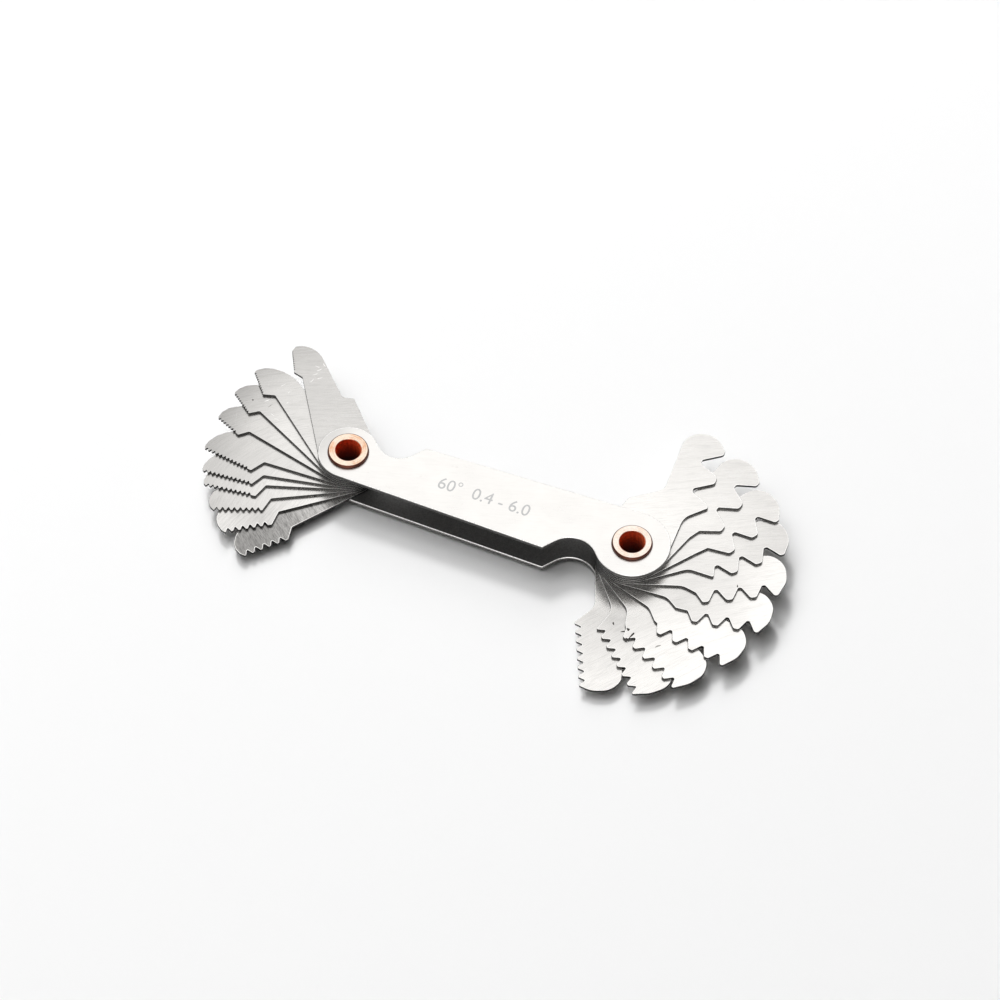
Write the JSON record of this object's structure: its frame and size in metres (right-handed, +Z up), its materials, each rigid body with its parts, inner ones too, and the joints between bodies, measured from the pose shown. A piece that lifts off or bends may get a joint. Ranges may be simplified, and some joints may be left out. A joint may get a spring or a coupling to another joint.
{
  "type": "thread pitch gauge",
  "caption": "Pocket thread pitch gauge: toothed steel leaves for metric threads, fanned out at both ends of a flat steel handle on hollow rivets.",
  "frame": {"origin": "on the surface the gauge lies on, under the middle of its outline with the leaves fanned out", "axes": "+X along the handle towards the coarse leaves, +Y across the handle, +Z up through the stack"},
  "size_m": [0.1008, 0.052, 0.0082],
  "materials": {
    "plate_steel": "fine satin",
    "leaf_steel": "ground, fine grain",
    "rivet_copper": "bright copper plating"
  },
  "bodies": {
    "handle": {"plate_bottom": "plate_steel", "plate_top": "plate_steel", "rivet_fine": "rivet_copper", "rivet_coarse": "rivet_copper"},
    "leaf_coarse_6_00": {"leaf_coarse_6_00": "leaf_steel"},
    "leaf_coarse_5_50": {"leaf_coarse_5_50": "leaf_steel"},
    "leaf_coarse_5_00": {"leaf_coarse_5_00": "leaf_steel"},
    "leaf_coarse_4_50": {"leaf_coarse_4_50": "leaf_steel"},
    "leaf_coarse_4_00": {"leaf_coarse_4_00": "leaf_steel"},
    "leaf_coarse_3_50": {"leaf_coarse_3_50": "leaf_steel"},
    "leaf_coarse_3_00": {"leaf_coarse_3_00": "leaf_steel"},
    "leaf_coarse_2_50": {"leaf_coarse_2_50": "leaf_steel"},
    "leaf_coarse_2_00": {"leaf_coarse_2_00": "leaf_steel"},
    "leaf_coarse_1_75": {"leaf_coarse_1_75": "leaf_steel"},
    "leaf_fine_0_40": {"leaf_fine_0_40": "leaf_steel"},
    "leaf_fine_0_45": {"leaf_fine_0_45": "leaf_steel"},
    "leaf_fine_0_50": {"leaf_fine_0_50": "leaf_steel"},
    "leaf_fine_0_60": {"leaf_fine_0_60": "leaf_steel"},
    "leaf_fine_0_70": {"leaf_fine_0_70": "leaf_steel"},
    "leaf_fine_0_75": {"leaf_fine_0_75": "leaf_steel"},
    "leaf_fine_0_80": {"leaf_fine_0_80": "leaf_steel"},
    "leaf_fine_1_00": {"leaf_fine_1_00": "leaf_steel"},
    "leaf_fine_1_25": {"leaf_fine_1_25": "leaf_steel"},
    "leaf_fine_1_50": {"leaf_fine_1_50": "leaf_steel"}
  },
  "joints": [
    {"name": "turn_coarse_6_00", "type": "hinge", "parent": "handle", "child": "leaf_coarse_6_00", "pos_m": [0.02455, 0.0001, 0.0041], "axis": [0, 0, 1], "range_deg": [-164.7, 105.3]},
    {"name": "turn_coarse_5_50", "type": "hinge", "parent": "handle", "child": "leaf_coarse_5_50", "pos_m": [0.02455, 0.0001, 0.0041], "axis": [0, 0, 1], "range_deg": [-145.9, 124.1]},
    {"name": "turn_coarse_5_00", "type": "hinge", "parent": "handle", "child": "leaf_coarse_5_00", "pos_m": [0.02455, 0.0001, 0.0041], "axis": [0, 0, 1], "range_deg": [-128.6, 141.4]},
    {"name": "turn_coarse_4_50", "type": "hinge", "parent": "handle", "child": "leaf_coarse_4_50", "pos_m": [0.02455, 0.0001, 0.0041], "axis": [0, 0, 1], "range_deg": [-113.8, 156.2]},
    {"name": "turn_coarse_4_00", "type": "hinge", "parent": "handle", "child": "leaf_coarse_4_00", "pos_m": [0.02455, 0.0001, 0.0041], "axis": [0, 0, 1], "range_deg": [-95.7, 174.3]},
    {"name": "turn_coarse_3_50", "type": "hinge", "parent": "handle", "child": "leaf_coarse_3_50", "pos_m": [0.02455, 0.0001, 0.0041], "axis": [0, 0, 1], "range_deg": [-78.5, 191.5]},
    {"name": "turn_coarse_3_00", "type": "hinge", "parent": "handle", "child": "leaf_coarse_3_00", "pos_m": [0.02455, 0.0001, 0.0041], "axis": [0, 0, 1], "range_deg": [-58.3, 211.7]},
    {"name": "turn_coarse_2_50", "type": "hinge", "parent": "handle", "child": "leaf_coarse_2_50", "pos_m": [0.02455, 0.0001, 0.0041], "axis": [0, 0, 1], "range_deg": [-38.1, 231.9]},
    {"name": "turn_coarse_2_00", "type": "hinge", "parent": "handle", "child": "leaf_coarse_2_00", "pos_m": [0.02455, 0.0001, 0.0041], "axis": [0, 0, 1], "range_deg": [-23.4, 246.6]},
    {"name": "turn_coarse_1_75", "type": "hinge", "parent": "handle", "child": "leaf_coarse_1_75", "pos_m": [0.02455, 0.0001, 0.0041], "axis": [0, 0, 1], "range_deg": [-3.1, 266.9]},
    {"name": "turn_fine_0_40", "type": "hinge", "parent": "handle", "child": "leaf_fine_0_40", "pos_m": [-0.02645, 0.0001, 0.0041], "axis": [0, 0, 1], "range_deg": [-37.3, 232.7]},
    {"name": "turn_fine_0_45", "type": "hinge", "parent": "handle", "child": "leaf_fine_0_45", "pos_m": [-0.02645, 0.0001, 0.0041], "axis": [0, 0, 1], "range_deg": [-59.6, 210.4]},
    {"name": "turn_fine_0_50", "type": "hinge", "parent": "handle", "child": "leaf_fine_0_50", "pos_m": [-0.02645, 0.0001, 0.0041], "axis": [0, 0, 1], "range_deg": [-71.3, 198.7]},
    {"name": "turn_fine_0_60", "type": "hinge", "parent": "handle", "child": "leaf_fine_0_60", "pos_m": [-0.02645, 0.0001, 0.0041], "axis": [0, 0, 1], "range_deg": [-82.5, 187.5]},
    {"name": "turn_fine_0_70", "type": "hinge", "parent": "handle", "child": "leaf_fine_0_70", "pos_m": [-0.02645, 0.0001, 0.0041], "axis": [0, 0, 1], "range_deg": [-99.5, 170.5]},
    {"name": "turn_fine_0_75", "type": "hinge", "parent": "handle", "child": "leaf_fine_0_75", "pos_m": [-0.02645, 0.0001, 0.0041], "axis": [0, 0, 1], "range_deg": [-109.2, 160.8]},
    {"name": "turn_fine_0_80", "type": "hinge", "parent": "handle", "child": "leaf_fine_0_80", "pos_m": [-0.02645, 0.0001, 0.0041], "axis": [0, 0, 1], "range_deg": [-117.3, 152.7]},
    {"name": "turn_fine_1_00", "type": "hinge", "parent": "handle", "child": "leaf_fine_1_00", "pos_m": [-0.02645, 0.0001, 0.0041], "axis": [0, 0, 1], "range_deg": [-126.7, 143.3]},
    {"name": "turn_fine_1_25", "type": "hinge", "parent": "handle", "child": "leaf_fine_1_25", "pos_m": [-0.02645, 0.0001, 0.0041], "axis": [0, 0, 1], "range_deg": [-136.2, 133.8]},
    {"name": "turn_fine_1_50", "type": "hinge", "parent": "handle", "child": "leaf_fine_1_50", "pos_m": [-0.02645, 0.0001, 0.0041], "axis": [0, 0, 1], "range_deg": [-150.5, 119.5]}
  ]
}
